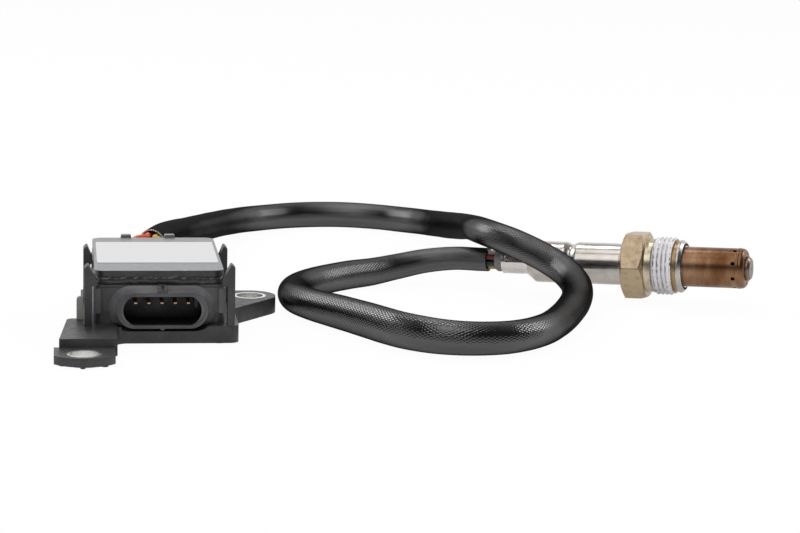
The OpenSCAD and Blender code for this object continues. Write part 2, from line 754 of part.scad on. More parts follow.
module inner_tube() {
    nose_end = tube_end + nose_out;
    color([0.6, 0.52, 0.45]) on_probe() difference() {
        turned([
            [tube_s, nose_r - nose_wall], [tube_s, nose_r], [nose_end - 0.7, nose_r], [nose_end, nose_r - 0.7],
            [nose_end, 0], [nose_end - nose_wall, 0], [nose_end - nose_wall, nose_r - nose_wall - 0.5],
            [nose_end - nose_wall - 0.5, nose_r - nose_wall]
        ]);
        rod(nose_end - 2, nose_end + eps, nose_hole_d / 2);
    }
}

// Core of the probe: a flat ceramic element held by ceramic parts and packed powder
module core_piece(s0, s1, r) {
    on_probe() difference() {
        rod(s0, s1, r);
        translate([s0 - eps, -element_w / 2 - element_gap, -element_t / 2 - element_gap])
            cube([s1 - s0 + 2 * eps, element_w + 2 * element_gap, element_t + 2 * element_gap]);
    }
}
module sensing_element() {
    color([0.92, 0.9, 0.85]) on_probe()
        translate([spine_back, -element_w / 2, -element_t / 2]) cube([tube_end - 4 - spine_back, element_w, element_t]);
}
module contact_block() {
    color([0.9, 0.88, 0.82]) core_piece(body_start + 6, body_end - 13, block_r);
}
module rear_ceramic() {
    color([0.93, 0.92, 0.88]) core_piece(body_end - 13, body_end, core_r);
}
module packing_ring() {
    color([0.8, 0.78, 0.72]) core_piece(body_end, body_end + 7, core_r);
}
module front_ceramic() {
    color([0.93, 0.92, 0.88]) core_piece(body_end + 7, collar_s + collar_l, core_r);
}

bracket();
front_bushing();
rear_bushing();
housing();
lid();
label();
sealant_bead();
pin_1();
pin_2();
pin_3();
pin_4();
pin_5();
circuit_board();
microcontroller();
heater_driver();
capacitors();
wire_seal();
wire_orange();
wire_yellow();
wire_black();
wire_white();
wire_red();
wire_teal();
sleeve();
wire_grommet();
crimp_sleeve();
body_shell();
end_ring();
captive_screw();
sensor_housing();
outer_tube();
inner_tube();
sensing_element();
contact_block();
rear_ceramic();
packing_ring();
front_ceramic();
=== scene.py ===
# Nitrogen oxide sensor: control box in a clip bracket, sleeved wiring and exhaust probe.
import bpy
import numpy as np
from mathutils import Matrix


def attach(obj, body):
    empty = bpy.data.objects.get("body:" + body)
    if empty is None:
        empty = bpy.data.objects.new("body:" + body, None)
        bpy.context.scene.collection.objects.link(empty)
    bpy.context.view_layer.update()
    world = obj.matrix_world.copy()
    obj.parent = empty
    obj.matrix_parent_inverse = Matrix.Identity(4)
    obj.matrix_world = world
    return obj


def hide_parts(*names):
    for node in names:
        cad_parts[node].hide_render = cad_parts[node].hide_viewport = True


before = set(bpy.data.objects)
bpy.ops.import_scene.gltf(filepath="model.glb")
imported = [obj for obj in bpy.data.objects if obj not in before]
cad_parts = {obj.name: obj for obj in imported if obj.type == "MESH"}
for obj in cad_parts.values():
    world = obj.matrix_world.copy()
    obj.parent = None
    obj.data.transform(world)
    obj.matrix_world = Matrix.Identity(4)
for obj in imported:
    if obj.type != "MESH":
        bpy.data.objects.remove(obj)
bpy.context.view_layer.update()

MM = 0.001

# Camera: at the photograph's angle, a little above the part and far enough away that lines
# stay nearly parallel. Yaw turns it from +Y towards +X, and roll leans it to the right.
eye = np.array([-7.389, -759.04, 170.09]) * MM
yaw, pitch, roll = np.radians([7.723, 10.369, 1.318])
ahead = np.array([np.sin(yaw) * np.cos(pitch), np.cos(yaw) * np.cos(pitch), -np.sin(pitch)])
level = np.array([np.cos(yaw), -np.sin(yaw), 0.0])
upright = np.cross(level, ahead)
right = level * np.cos(roll) + upright * np.sin(roll)
above = upright * np.cos(roll) - level * np.sin(roll)
camera = bpy.data.objects.new("camera", bpy.data.cameras.new("camera"))
camera.data.sensor_width = 36
camera.data.lens = 114.75
camera.data.clip_start = 0.01
camera.data.clip_end = 20
turn = np.eye(4)
turn[:3, :4] = np.stack([right, above, -ahead, eye], 1)
camera.matrix_world = Matrix(turn.tolist())
bpy.context.scene.collection.objects.link(camera)
bpy.context.scene.camera = camera
bpy.context.scene.view_settings.view_transform = "Standard"


# Sleeve: a lacquered braid over six wires, cut open at the box and drawn tight at the probe. It
# rises over the second pass in a low hump, and rests on the floor for most of its length.
def put(tree, kind, links=(), **values):
    """A shader node; values are its properties, or its sockets by name, and links are pairs of
    the socket's name and the output that feeds it."""
    made = tree.nodes.new("ShaderNode" + kind)
    for key, value in values.items():
        if hasattr(made, key):
            setattr(made, key, value)
        else:
            made.inputs[key.replace("_", " ")].default_value = value
    for socket, source in links:
        tree.links.new(source, made.inputs[socket])
    return made


def reckon(tree, operation, *terms):
    """One Math node on numbers and outputs."""
    made = tree.nodes.new("ShaderNodeMath")
    made.operation = operation
    for k, term in enumerate(terms):
        if isinstance(term, (int, float)):
            made.inputs[k].default_value = term
        else:
            tree.links.new(term, made.inputs[k])
    return made.outputs[0]


def finish(name, colour, rough, metal=0.0, **sockets):
    """A new material, its node tree, its Principled shader and the point on the piece in metres."""
    material = bpy.data.materials.new(name)
    material.use_nodes = True
    tree = material.node_tree
    shader = tree.nodes["Principled BSDF"]
    shader.inputs["Base Color"].default_value = (*colour, 1)
    shader.inputs["Roughness"].default_value = rough
    shader.inputs["Metallic"].default_value = metal
    for key, value in sockets.items():
        shader.inputs[key.replace("_", " ")].default_value = value
    place = put(tree, "TexCoord").outputs["Object"]
    return material, tree, shader, place


def grain(tree, place, scale, detail=3.0, stretch=(1, 1, 1), rough=0.55):
    """Noise on the point, in cycles a metre, drawn out along an axis where stretch is below 1."""
    drawn = put(tree, "Mapping", [("Vector", place)], Scale=stretch)
    made = put(tree, "TexNoise", [("Vector", drawn.outputs[0])], Scale=scale, Detail=detail, Roughness=rough)
    return made.outputs["Fac"]


def spread(tree, source, low, high, a=0.3, b=0.7):
    """Maps a value from a...b to low...high, and holds it there outside."""
    made = put(tree, "MapRange", [("Value", source)], From_Min=a, From_Max=b, To_Min=low, To_Max=high)
    return made.outputs[0]


def tint(tree, source, stops):
    """Colour ramp from pairs of a place and a colour."""
    made = tree.nodes.new("ShaderNodeValToRGB")
    steps = made.color_ramp.elements
    steps[0].position, steps[1].position = stops[0][0], stops[-1][0]
    for at, _ in stops[1:-1]:
        steps.new(at)
    for step, (_, colour) in zip(steps, stops):
        step.color = (*colour, 1)
    tree.links.new(source, made.inputs[0])
    return made.outputs[0]


def relief(tree, shader, source, depth, strength=1.0, under=None):
    """Bump from a height, with its depth in metres, on top of another bump."""
    made = put(tree, "Bump", [("Height", source)], Distance=depth, Strength=strength)
    if under is not None:
        tree.links.new(under, made.inputs["Normal"])
    tree.links.new(made.outputs[0], shader.inputs["Normal"])
    return made.outputs[0]


def skin(name, grid, material, uv=None, loop=False, caps=True, crease=35):
    """Mesh on a grid of points in metres, with rows along the piece and columns around it. loop
    joins the last row to the first, and caps closes both ends. uv is the size of the map."""
    rows, wide = grid.shape[:2]
    i, j = np.meshgrid(np.arange(rows if loop else rows - 1), np.arange(wide), indexing="ij")
    k, n = (j + 1) % wide, (i + 1) % rows
    quads = np.stack([i * wide + j, i * wide + k, n * wide + k, n * wide + j], -1)
    faces = quads.reshape(-1, 4).tolist()
    if caps:
        faces += [list(range(wide - 1, -1, -1)), list(range((rows - 1) * wide, rows * wide))]
    mesh = bpy.data.meshes.new(name)
    mesh.from_pydata(grid.reshape(-1, 3).tolist(), [], faces)
    if uv is not None:
        corner_i = np.stack([i, i, i + 1, i + 1], -1).reshape(-1)
        corner_j = np.stack([j, j + 1, j + 1, j], -1).reshape(-1)
        coords = np.zeros((len(mesh.loops), 2))
        coords[: len(corner_i), 0] = corner_j / wide * uv[0]
        coords[: len(corner_i), 1] = np.asarray(uv[1])[corner_i]
        mesh.uv_layers.new(name="map").data.foreach_set("uv", coords.ravel())
    mesh.materials.append(material)
    mesh.shade_smooth()
    mesh.set_sharp_from_angle(angle=np.radians(crease))
    made = bpy.data.objects.new(name, mesh)
    bpy.context.scene.collection.objects.link(made)
    return made


def smooth_path(points, steps):
    """Points on a curve through the given ones: on each span, a cubic whose slope at either end is
    half the chord between that point's two neighbours."""
    p = np.vstack([2 * points[0] - points[1], points, 2 * points[-1] - points[-2]])
    a, b, c, d = p[:-3], p[1:-2], p[2:-1], p[3:]
    t = (np.arange(steps) / steps)[None, :, None]
    a, b, c, d = (q[:, None, :] for q in (a, b, c, d))
    curve = b + t * (c - a) / 2 + t**2 * (a - 2.5 * b + 2 * c - d / 2) + t**3 * (1.5 * (b - c) + (d - a) / 2)
    return np.vstack([curve.reshape(-1, 3), points[-1:]])


def along(path):
    """Distance from the start, and the directions ahead, sideways and up, at each point."""
    step = np.gradient(path, axis=0)
    ahead = step / np.linalg.norm(step, axis=1, keepdims=True)
    side = np.cross(ahead, [0, 0, 1.0])
    side /= np.linalg.norm(side, axis=1, keepdims=True)
    gone = np.concatenate([[0], np.cumsum(np.linalg.norm(np.diff(path, axis=0), axis=1))])
    return gone, ahead, side, np.cross(side, ahead)


def tube(path, radius, columns):
    """Grid around a path: each ring is its point plus the radius times cos of the angle sideways
    and sin of it upwards. radius is one number, one for each ring, or one for each grid point."""
    _, _, side, up = along(path)
    angle = 2 * np.pi * np.arange(columns) / columns
    ring = np.cos(angle)[None, :, None] * side[:, None] + np.sin(angle)[None, :, None] * up[:, None]
    reach = np.broadcast_to(np.asarray(radius, float).reshape(-1, 1) if np.ndim(radius) < 2 else radius,
                            (len(path), columns))
    return path[:, None] + reach[..., None] * ring


def swell(u, v, seed, waves=7, fast=3.0):
    """Smooth unevenness from -1 to 1: a mean of sine waves of u and v with seeded slopes."""
    dice = np.random.default_rng(seed)
    total = 0
    for _ in range(waves):
        a, b, c = dice.uniform(-fast, fast), dice.integers(-2, 3), dice.uniform(0, 2 * np.pi)
        total = total + np.sin(a * u + b * v + c)
    return total / waves


probe_pos = np.array([192.3, 96.5, 12.6])
heading, tilt = np.radians([-27, 2.7])
probe_axis = np.array([np.cos(tilt) * np.cos(heading), np.cos(tilt) * np.sin(heading), np.sin(tilt)])
sleeve_end = -54.5
route = np.array([
    [24, 108, 18], [26.3, 118.4, 17.5], [28.6, 128.7, 16.8], [31.1, 139, 15.8], [33.8, 149.1, 14.6],
    [36.8, 159.2, 13.4], [40.1, 169.3, 12.3], [43.4, 179.3, 11.3], [46.8, 189.3, 10.3],
    [50.2, 199.3, 9.3], [53.8, 209.3, 8.3], [57.8, 219, 7.3], [62.7, 228.4, 6.4],
    [69.2, 236.7, 5.7], [77.7, 243.1, 5.4], [87.5, 247, 5.4], [98, 248.3, 5.4], [108.5, 247.1, 5.4],
    [118.4, 243.3, 5.3], [126.8, 237, 5.4], [133, 228.4, 6], [136.8, 218.5, 7], [138.8, 208.2, 8.3],
    [139.9, 197.8, 9.7], [140.6, 187.3, 11.2], [140.9, 176.8, 12.8], [141, 166.3, 14.4],
    [140.7, 155.8, 16.1], [140.3, 145.3, 17.7], [140.1, 134.8, 19.2], [140.9, 124.3, 20.1],
    [144.2, 114.3, 20], [150.6, 106.1, 18.4], [158.1, 99.1, 15.5], [164.3, 91.2, 12.2],
    [166.8, 81.3, 9.5], [165.9, 70.9, 7.8], [163.1, 60.7, 6.7], [159.5, 50.8, 6.1],
    [155.3, 41, 5.6], [150.8, 31.5, 5.4], [145.5, 22.3, 5.4], [138.5, 14.3, 5.4], [129.5, 8.8, 5.4],
    [119.1, 7.3, 5.4], [109, 10.2, 5.4], [100.7, 16.8, 5.4], [94.6, 25.5, 5.4], [89.6, 34.8, 5.4],
    [84.7, 44.3, 5.4], [79.7, 53.6, 5.4], [74.8, 63, 5.4], [71.2, 73, 5.4], [70.6, 83.5, 5.4],
    [73.3, 93.7, 5.4], [78.7, 102.9, 5.3], [85.6, 110.9, 5.2], [93.6, 117.9, 5.2],
    [102.3, 123.9, 5.2], [111.9, 128.4, 6.2], [122.1, 129.8, 8],
])
route = np.vstack([route] + [probe_pos + (sleeve_end + back) * probe_axis for back in (-13, -4, 0)])
sleeve_line = smooth_path(route, 14)
sleeve_gone = along(sleeve_line)[0]
sleeve_length = sleeve_gone[-1]
sleeve_r, sleeve_end_r, sleeve_wall = 5.2, 4.3, 0.7


def braid_finish():
    """Two families of helical strands: the height is the product of two sine waves of the map's
    u plus v and u minus v, under a coat of lacquer."""
    material, tree, shader, place = finish("braid", (0.006, 0.006, 0.0065), 0.4, Specular_IOR_Level=0.0,
                                           Coat_Roughness=0.1, Coat_IOR=2.0)
    parts = put(tree, "SeparateXYZ", [("Vector", put(tree, "TexCoord").outputs["UV"])])
    u, v = parts.outputs[0], parts.outputs[1]
    one, other = (reckon(tree, "ABSOLUTE", reckon(tree, "SINE", reckon(
        tree, "MULTIPLY", reckon(tree, way, u, v), np.pi))) for way in ("ADD", "SUBTRACT"))
    weave = reckon(tree, "MULTIPLY", one, other)
    lumps = relief(tree, shader, grain(tree, place, 260, 2), 0.0004, 0.35)
    relief(tree, shader, weave, 0.0002, 1.0, lumps)
    lacquer = put(tree, "Bump", [("Height", weave), ("Normal", lumps)], Distance=0.00006)
    tree.links.new(lacquer.outputs[0], shader.inputs["Coat Normal"])
    away = put(tree, "LayerWeight", Blend=0.5).outputs["Facing"]
    tree.links.new(spread(tree, away, 0.85, 0.05, 0.42, 0.78), shader.inputs["Coat Weight"])
    depth = reckon(tree, "LESS_THAN", v, 0.0)
    mix = put(tree, "Mix", [("Factor", depth)], data_type="RGBA")
    mix.inputs[6].default_value = (0.004, 0.004, 0.0045, 1)
    mix.inputs[7].default_value = (0.24, 0.225, 0.2, 1)
    tree.links.new(mix.outputs[2], shader.inputs["Base Color"])
    worn = spread(tree, grain(tree, place, 900, 4), 0.24, 0.42)
    tree.links.new(reckon(tree, "ADD", worn, reckon(tree, "MULTIPLY", depth, 0.5)), shader.inputs["Roughness"])
    return material


sleeve_columns = 48
taper = np.clip((sleeve_gone - 600) / 50, 0, 1) ** 2 * (3 - 2 * np.clip((sleeve_gone - 600) / 50, 0, 1))
sleeve_angle = 2 * np.pi * np.arange(sleeve_columns) / sleeve_columns
body_r = (sleeve_r + (sleeve_end_r - sleeve_r) * taper)[:, None] * np.ones(sleeve_columns)
body_r = body_r * (1 + 0.018 * swell(sleeve_gone[:, None] / 9, sleeve_angle[None], 3))
body_r = body_r * (1 - 0.01 + 0.02 * np.cos(2 * sleeve_angle)[None])
pressed = np.exp(-((sleeve_gone[:, None] - 303) / 26) ** 2) * np.abs(np.sin(sleeve_angle))[None] ** 3
body_r = body_r * (1 - 0.1 * pressed)
slant = -3.2 * np.cos(sleeve_angle)[None, :, None] * np.clip(1 - sleeve_gone / 13, 0, 1)[:, None, None]
slant = slant * along(sleeve_line)[1][:, None]
outer = tube(sleeve_line, body_r, sleeve_columns) + slant
upended = np.exp(-((sleeve_gone - 502) / 38) ** 2)
middle = sleeve_line[:, None]
outer = middle + (outer - middle) * (1 + upended[:, None, None] * np.array([-0.1, -0.1, 0.17]))
outer[..., 2] += (0.17 * sleeve_r * upended)[:, None]
inside = (tube(sleeve_line, sleeve_r - sleeve_wall, sleeve_columns) + slant)[:12][::-1]
lip = (inside[-1:] + outer[:1]) / 2 - along(sleeve_line)[1][0] * 0.25
closing = outer[-1:] * 0.78 + sleeve_line[-1] * 0.22
strand = 0.8
sleeve_v = np.concatenate([-sleeve_gone[:12][::-1] - 0.6, [-0.3], sleeve_gone, [sleeve_length + 1]]) / (2 * strand)
sleeve = skin("sleeve_braid", np.vstack([inside, lip, outer, closing]) * MM, braid_finish(), uv=(40, sleeve_v))
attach(sleeve, "sensor")
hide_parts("sleeve")


# Wires: six insulated wires run from the rubber seal at the back of the box up into the sleeve's
# open end, and come out again for 3 mm at the probe.
def insulation_finish(name, colour):
    """Extruded insulation: a slightly uneven gloss with a little dust."""
    material, tree, shader, place = finish(name, colour, 0.35, Specular_IOR_Level=0.5)
    tree.links.new(spread(tree, grain(tree, place, 700, 3), 0.28, 0.5), shader.inputs["Roughness"])
    relief(tree, shader, grain(tree, place, 1500, 2), 0.00005, 0.3)
    return material


wire_r = 1.0
seal_x, seal_face, seal_z = 22.0, 95.3, 12.5
mouth = route[0]
mouth_dir = (route[1] - mouth) / np.linalg.norm(route[1] - mouth)
mouth_side = np.cross(mouth_dir, [0, 0, 1])
mouth_side /= np.linalg.norm(mouth_side)
mouth_up = np.cross(mouth_side, mouth_dir)
probe_side = np.cross(probe_axis, [0, 0, 1])
probe_side /= np.linalg.norm(probe_side)
probe_up = np.cross(probe_side, probe_axis)
for name, colour, x, side, up, angle in [
    ("orange", (0.78, 0.10, 0.02), -7, -1.5, 2.9, 300),
    ("red", (0.16, 0.014, 0.008), -4.2, -2.4, -1.4, 60),
    ("black", (0.012, 0.012, 0.013), -1.4, -3.0, 0.7, 240),
    ("teal", (0.004, 0.05, 0.05), 1.4, 0, -2.8, 120),
    ("white", (0.78, 0.77, 0.74), 4.2, 2.4, -1.4, 0),
    ("yellow", (0.62, 0.36, 0.03), 7, 1.7, 2.6, 180),
]:
    coat = insulation_finish("insulation_" + name, colour)
    end = mouth + side * mouth_side + up * mouth_up
    line = smooth_path(np.array([
        [seal_x + x, seal_face - 0.5, seal_z], [seal_x + x, seal_face + 2.5, seal_z],
        [seal_x + x * 0.62 + side * 0.3, seal_face + 7.5, seal_z + 4.4 + up],
        end - 3.5 * mouth_dir, end, end + 8 * mouth_dir,
    ]), 8)
    wire = skin("wire_" + name + "_at_box", tube(line, wire_r, 20) * MM, coat)
    spin = np.radians(angle)
    off = 2.4 * (np.cos(spin) * probe_up + np.sin(spin) * probe_side)
    line = np.array([probe_pos + s * probe_axis + off for s in np.linspace(sleeve_end - 1, -51.0, 7)])
    stub = skin("wire_" + name + "_at_probe", tube(line, wire_r, 20) * MM, coat)
    for piece in (wire, stub):
        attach(piece, "sensor")
        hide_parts("wire_" + name)


# Wire end of the probe: a rubber grommet held in a crimped steel sleeve, with two pressed rings
# and a twelve-sided crimp.
def on_probe(points):
    """Puts points whose X runs along the probe's axis into the model."""
    side = np.array([-np.sin(heading), np.cos(heading), 0])
    up = np.cross(probe_axis, side)
    return probe_pos + points[..., :1] * probe_axis + points[..., 1:2] * side + points[..., 2:] * up


def turned(profile, columns=96, grow=None):
    """Grid of a round piece on the probe: profile rows are the distance along the axis and the
    radius, and grow(s, angle) adds to the radius."""
    s, r = np.asarray(profile, float).T
    angle = 2 * np.pi * np.arange(columns) / columns
    s, r = s[:, None] + 0 * angle, r[:, None] + 0 * angle
    if grow is not None:
        r = r + grow(s, angle[None] + 0 * s)
    return on_probe(np.stack([s, r * np.cos(angle), r * np.sin(angle)], -1)) * MM


def fine(corners, step, ease=0.25):
    """Profile with points every step or so between its corners, each of which is rounded off by
    up to ease along both sides."""
    corners = np.asarray(corners, float)
    out = [corners[0]]
    for before, corner, after in zip(corners[:-2], corners[1:-1], corners[2:]):
        cut = [min(ease, 0.4 * np.linalg.norm(q - corner)) for q in (before, after)]
        start = corner + (before - corner) / np.linalg.norm(before - corner) * cut[0]
        stop = corner + (after - corner) / np.linalg.norm(after - corner) * cut[1]
        t = np.linspace(0, 1, 5)[:, None]
        out.extend((1 - t) ** 2 * start + 2 * t * (1 - t) * corner + t**2 * stop)
    out.append(corners[-1])
    out = np.array(out)
    gone = np.concatenate([[0], np.cumsum(np.linalg.norm(np.diff(out, axis=0), axis=1))])
    extra = np.concatenate([np.linspace(a, b, int((b - a) / step) + 1, endpoint=False) for a, b in zip(gone[:-1], gone[1:])])
    extra = np.append(extra, gone[-1])
    return np.stack([np.interp(extra, gone, out[:, 0]), np.interp(extra, gone, out[:, 1])], 1)


def steel_finish(name, colour, dark, rough, lines=1.0, stain=0.5):
    """Turned and drawn steel: fine rings round the axis in bump and gloss, with soft stains."""
    material, tree, shader, place = finish(name, colour, rough, 1.0)
    turn = put(tree, "Mapping", [("Vector", place)], Rotation=(0, -tilt, heading), vector_type="TEXTURE")
    turn.inputs["Location"].default_value = probe_pos * MM
    rings = grain(tree, turn.outputs[0], 9000, 2, (1, 0.02, 0.02))
    marks = grain(tree, place, 260, 5)
    stains = tint(tree, marks, [(0.38, dark), (0.62, colour)])
    mix = put(tree, "Mix", data_type="RGBA")
    mix.inputs[0].default_value = stain
    mix.inputs[6].default_value = (*colour, 1)
    tree.links.new(stains, mix.inputs[7])
    tree.links.new(mix.outputs[2], shader.inputs["Base Color"])
    tree.links.new(reckon(tree, "ADD", spread(tree, rings, -0.04, 0.04), spread(tree, marks, rough - 0.05, rough + 0.07)),
                   shader.inputs["Roughness"])
    relief(tree, shader, rings, 0.00002 * lines, 0.5)
    return material


def rubber_finish(name, colour, rough=0.6):
    """Moulded rubber: dull, with fine grain and a little pale dust."""
    material, tree, shader, place = finish(name, colour, rough)
    dust = tint(tree, grain(tree, place, 800, 6), [(0.5, colour), (0.85, tuple(1.6 * c + 0.015 for c in colour))])
    tree.links.new(dust, shader.inputs["Base Color"])
    tree.links.new(spread(tree, grain(tree, place, 500, 3), rough - 0.1, rough + 0.1), shader.inputs["Roughness"])
    relief(tree, shader, grain(tree, place, 4000, 2), 0.00003, 0.4)
    return material


grommet_s, crimp_s, body_start, body_end = -51.6, -48.7, -39.0, -4.3
rubber = rubber_finish("grommet_rubber", (0.2, 0.2, 0.205))
grommet = skin("grommet", turned(fine(
    [(grommet_s, 0.4), (grommet_s, 3.3), (grommet_s + 0.8, 4.05), (crimp_s, 4.05), (crimp_s, 3.9), (crimp_s + 4, 3.9)],
    0.5)), rubber)
probe_steel = steel_finish("probe_steel", (0.60, 0.56, 0.52), (0.42, 0.38, 0.34), 0.2)


def crimp_facets(s, angle):
    """Twelve flats between the two end rings, and a shallow pressed groove beside each ring."""
    wave = np.abs(((angle * 12 / (2 * np.pi)) % 1) - 0.5) * 2
    between = np.clip((s + 47.4) / 0.5, 0, 1) * np.clip((-39.9 - s) / 0.5, 0, 1)
    grooves = np.exp(-((s + 47.5) / 0.28) ** 2) + np.exp(-((s + 40.6) / 0.3) ** 2)
    return between * 0.14 * (wave - 0.75) - 0.22 * grooves


crimp_steel = steel_finish("crimp_steel", (0.76, 0.72, 0.68), (0.58, 0.54, 0.5), 0.25)
crimp = skin("crimp", turned(fine([(crimp_s, 3.95), (crimp_s, 4.65), (-37.7, 4.65), (-37.7, 3.95)], 0.15), 144,
                             crimp_facets), crimp_steel)
for piece, node, slot in ((grommet, "wire_grommet", "seal_rubber"), (crimp, "crimp_sleeve", "probe_steel")):
    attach(piece, "sensor")
    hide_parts(node)


# Steel shell: drawn tube with a neck round the crimp, a cone and a rolled groove, closed at the
# hexagon by a bright turned ring.
body_r_mm, groove_s = 7.25, -23.5
groove = [(groove_s + 5 * (t - 0.5), body_r_mm - 0.8 * np.sin(np.pi * t) ** 2) for t in np.linspace(0, 1, 25)]
shell_profile = np.vstack([
    fine([(body_start + 1.4, 4.8), (body_start, 4.8), (body_start, 5.25), (body_start + 0.6, 5.6),
          (-37.1, 6.65), (-36.4, 7.25), (-35.0, body_r_mm)], 0.2, 0.8),
    fine([(-34.9, body_r_mm), groove[0]], 0.5), groove[1:],
    fine([(groove_s + 2.6, body_r_mm), (-5.25, body_r_mm), (-5.25, 6.7)], 0.5, 0.15),
])
shell = skin("shell", turned(shell_profile, 128, lambda s, a: 0.025 * swell(s / 5, a, 11)), probe_steel)
ring_steel = steel_finish("ring_steel", (0.78, 0.77, 0.75), (0.6, 0.58, 0.55), 0.16)
ring = skin("ring", turned(fine([(-5.2, 6.65), (-5.2, 7.55), (-4.3, 7.55), (-4.3, 6.65)], 0.3, 0.2), 96), ring_steel)
for piece, node, slot in ((shell, "body_shell", "probe_steel"), (ring, "end_ring", "ring_steel")):
    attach(piece, "sensor")
    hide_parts(node)


# Captive screw: hexagon, shoulder, M20 x 1.5 thread, undercut and flange, machined from one bar
# of steel and free to turn on the sensor. Pale assembly paste fills the thread.
hex_turn = np.radians(-3)
screw_columns = 288
hex_r, pitch_mm = 11.0, 1.5
thread_from, thread_to = 6.6, 13.8


def hexagon_radius(s, angle):
    """Radius of a hexagon across 22 mm flats, cut by a 30 degree cone at both ends: the flat's
    distance over the cosine of the angle from its middle, or the cone where that is less."""
    from_flat = (angle - hex_turn) % (np.pi / 3) - np.pi / 6
    flat = hex_r / np.cos(from_flat)
    cone = hex_r - 0.25 + (4.0 - np.abs(s)) / np.tan(np.radians(30))
    low = np.minimum(flat, cone)
    gap = np.abs(flat - cone)
    return low - 0.06 * np.exp(-gap / 0.12)


def thread_radius(s, angle):
    """V thread with cut-off crests and roots: a triangle wave of the distance less the turn."""
    phase = (s / pitch_mm - angle / (2 * np.pi)) % 1
    wave = np.abs(phase - 0.5) * 2
    depth = 0.92 * np.clip((wave - 0.1) / 0.72, 0, 1)
    fade = np.clip((s - thread_from) / 0.9, 0, 1) * np.clip((thread_to - s) / 0.9, 0, 1)
    return 10.0 - depth * np.clip(fade * 1.6, 0, 1) - 0.55 * (1 - fade)


screw_angle = 2 * np.pi * np.arange(screw_columns) / screw_columns
face_s = np.concatenate([np.linspace(-4, -2.6, 15), np.linspace(-2.4, 2.4, 9), np.linspace(2.6, 4, 15)])
bore = 6.6
rows = [(-4.0, bore), (-4.0, 8.0), (-4.0, 10.4)]
rows += [(s, hexagon_radius(s, screw_angle)) for s in face_s]
rows += [(4.0, 10.2), (4.0, 9.6), (4.1, 9.3), (4.4, 9.2), (5.4, 9.2), (6.3, 9.2)]
rows += [(s, thread_radius(s, screw_angle)) for s in np.linspace(thread_from, thread_to, 97)]
rows += list(fine([(13.85, 8.8), (15.2, 8.8), (15.2, 9.1), (16.0, 9.1), (17.0, 8.3), (17.0, 8.0),
                   (15.1, 8.0), (15.1, bore)], 0.2, 0.15))
grid = [np.stack([s + 0 * screw_angle, r * np.cos(screw_angle), r * np.sin(screw_angle)], -1) for s, r in rows]


def screw_finish():
    """Warm tinted steel by place along the axis: tan hexagon, pale gold shoulder, white paste in
    the thread, bronze undercut and grey flange."""
    material, tree, shader, place = finish("screw_steel", (0.5, 0.4, 0.28), 0.3, 1.0)
    turn = put(tree, "Mapping", [("Vector", place)], Rotation=(0, -tilt, heading), vector_type="TEXTURE")
    turn.inputs["Location"].default_value = probe_pos * MM
    local = turn.outputs[0]
    parts = put(tree, "SeparateXYZ", [("Vector", local)])
    s = reckon(tree, "MULTIPLY", parts.outputs[0], 1000.0)
    zone = put(tree, "MapRange", [("Value", s)], From_Min=-5.0, From_Max=20.0).outputs[0]
    tan, gold, bronze, grey = (0.47, 0.36, 0.24), (0.60, 0.53, 0.40), (0.36, 0.24, 0.12), (0.50, 0.49, 0.47)
    steps = [(0.0, tan), (0.36, tan), (0.372, gold), (0.45, gold), (0.47, grey), (0.745, grey), (0.755, bronze),
             (0.808, bronze), (0.815, grey)]
    colour = tint(tree, zone, steps)
    stains = tint(tree, grain(tree, place, 420, 6), [(0.32, (0.55, 0.52, 0.5)), (0.5, (1, 1, 1))])
    worn = put(tree, "Mix", data_type="RGBA", blend_type="MULTIPLY")
    worn.inputs[0].default_value = 0.6
    tree.links.new(colour, worn.inputs[6])
    tree.links.new(stains, worn.inputs[7])
    radial = reckon(tree, "SQRT", reckon(tree, "ADD", reckon(tree, "POWER", parts.outputs[1], 2.0),
                                         reckon(tree, "POWER", parts.outputs[2], 2.0)))
    deep = spread(tree, radial, 1.0, 0.0, 0.0093, 0.0099)
    in_thread = reckon(tree, "MULTIPLY", reckon(tree, "GREATER_THAN", s, 6.9), reckon(tree, "LESS_THAN", s, 13.6))
    patches = spread(tree, grain(tree, place, 600, 5), -0.35, 0.75)
    paste = reckon(tree, "MULTIPLY", in_thread, reckon(tree, "MINIMUM", reckon(tree, "MAXIMUM", reckon(
        tree, "ADD", reckon(tree, "MULTIPLY", deep, 0.9), patches), 0.0), 1.0))
    paste = spread(tree, paste, 0.0, 1.0, 0.35, 0.6)
    mix = put(tree, "Mix", data_type="RGBA")
    tree.links.new(paste, mix.inputs[0])
    tree.links.new(worn.outputs[2], mix.inputs[6])
    mix.inputs[7].default_value = (0.86, 0.85, 0.88, 1)
    tree.links.new(mix.outputs[2], shader.inputs["Base Color"])
    tree.links.new(reckon(tree, "SUBTRACT", 1.0, paste), shader.inputs["Metallic"])
    rough = reckon(tree, "ADD", spread(tree, grain(tree, place, 500, 4), 0.24, 0.4), reckon(tree, "MULTIPLY", paste, 0.3))
    tree.links.new(rough, shader.inputs["Roughness"])
    relief(tree, shader, grain(tree, place, 2600, 3), 0.00005, 0.4)
    return material


screw = skin("screw", on_probe(np.array(grid)) * MM, screw_finish(), caps=False, crease=30)
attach(screw, "screw")
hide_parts("captive_screw")


